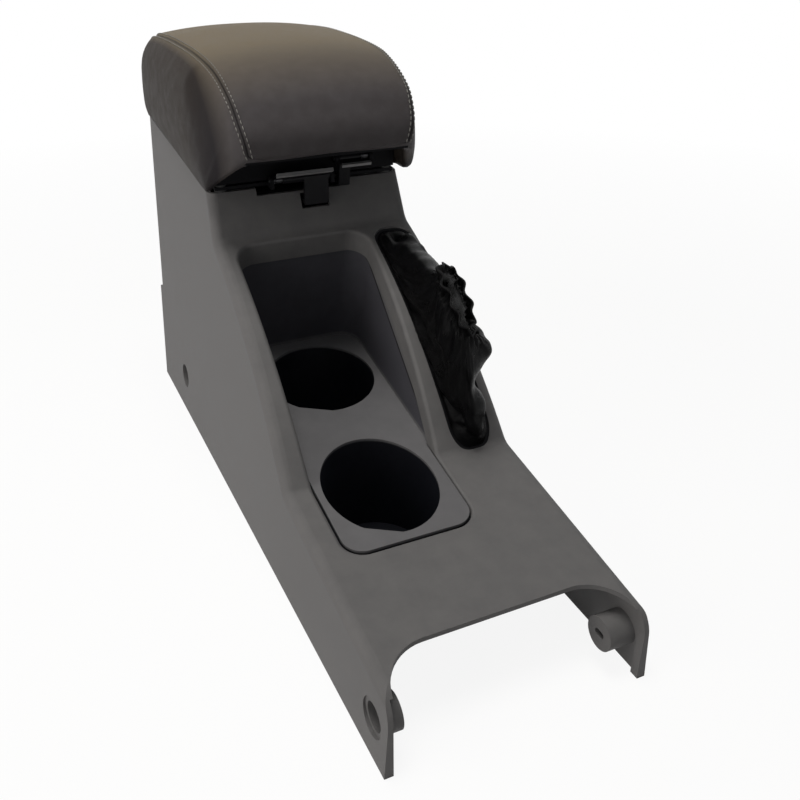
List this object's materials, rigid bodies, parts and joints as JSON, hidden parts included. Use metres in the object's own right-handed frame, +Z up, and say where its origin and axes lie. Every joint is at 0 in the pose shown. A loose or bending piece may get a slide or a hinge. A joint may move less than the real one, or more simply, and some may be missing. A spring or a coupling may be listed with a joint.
{
  "type": "car centre armrest",
  "caption": "Car centre console with cup wells, a hand-brake slot with a soft boot, and a padded armrest lid that opens over an upper tray and a deep bin.",
  "frame": {"origin": "on the floor under the middle of the whole length and width", "axes": "+Z up, +Y to the rear of the car (from the screw legs to the armrest's hinge), +X to the side of the hand-brake slot"},
  "size_m": [0.1738, 0.496, 0.3065],
  "materials": {
    "grey_shell": "fine grain",
    "grey_insert": "fine grain",
    "black_plastic": "satin",
    "latch_plastic": "satin",
    "pad_leather": "grained, sewn",
    "boot_leather": "soft sheen",
    "buffer_rubber": "matte",
    "steel": "plain"
  },
  "bodies": {
    "console": {"console_body": "grey_shell", "cup_holder_insert": "grey_insert", "insert_screws": "steel", "boot_frame": "black_plastic", "brake_boot": "boot_leather", "storage_bin": "black_plastic", "bin_screws": "steel", "hinge_bracket": "steel", "hinge_pin": "steel", "hinge_screws": "steel"},
    "tray": {"upper_tray": "black_plastic", "tray_buffers": "buffer_rubber", "tray_lever_pin": "steel", "tray_lever_spring": "steel"},
    "lid": {"lid_base": "black_plastic", "armrest_pad": "pad_leather", "pad_screws": "steel", "lid_lever_pin": "steel", "lid_lever_spring": "steel"},
    "tray_latch": {"tray_lever": "latch_plastic"},
    "lid_latch": {"lid_lever": "latch_plastic"}
  },
  "joints": [
    {"name": "tray_hinge", "type": "hinge", "parent": "console", "child": "tray", "pos_m": [0, 0.24199, 0.238], "axis": [-1, 0, 0], "range_deg": [0, 75]},
    {"name": "lid_hinge", "type": "hinge", "parent": "tray", "child": "lid", "pos_m": [0, 0.24199, 0.238], "axis": [-1, 0, 0], "range_deg": [0, 65]},
    {"name": "tray_latch_lift", "type": "hinge", "parent": "tray", "child": "tray_latch", "pos_m": [0, 0.05571, 0.22157], "axis": [-1, 0, 0], "range_deg": [0, 25], "stiffness_Nm_per_rad": 0.03, "springref_deg": -20.05},
    {"name": "lid_latch_lift", "type": "hinge", "parent": "lid", "child": "lid_latch", "pos_m": [0, 0.0547, 0.23202], "axis": [-1, 0, 0], "range_deg": [0, 25], "stiffness_Nm_per_rad": 0.03, "springref_deg": -20.05}
  ]
}
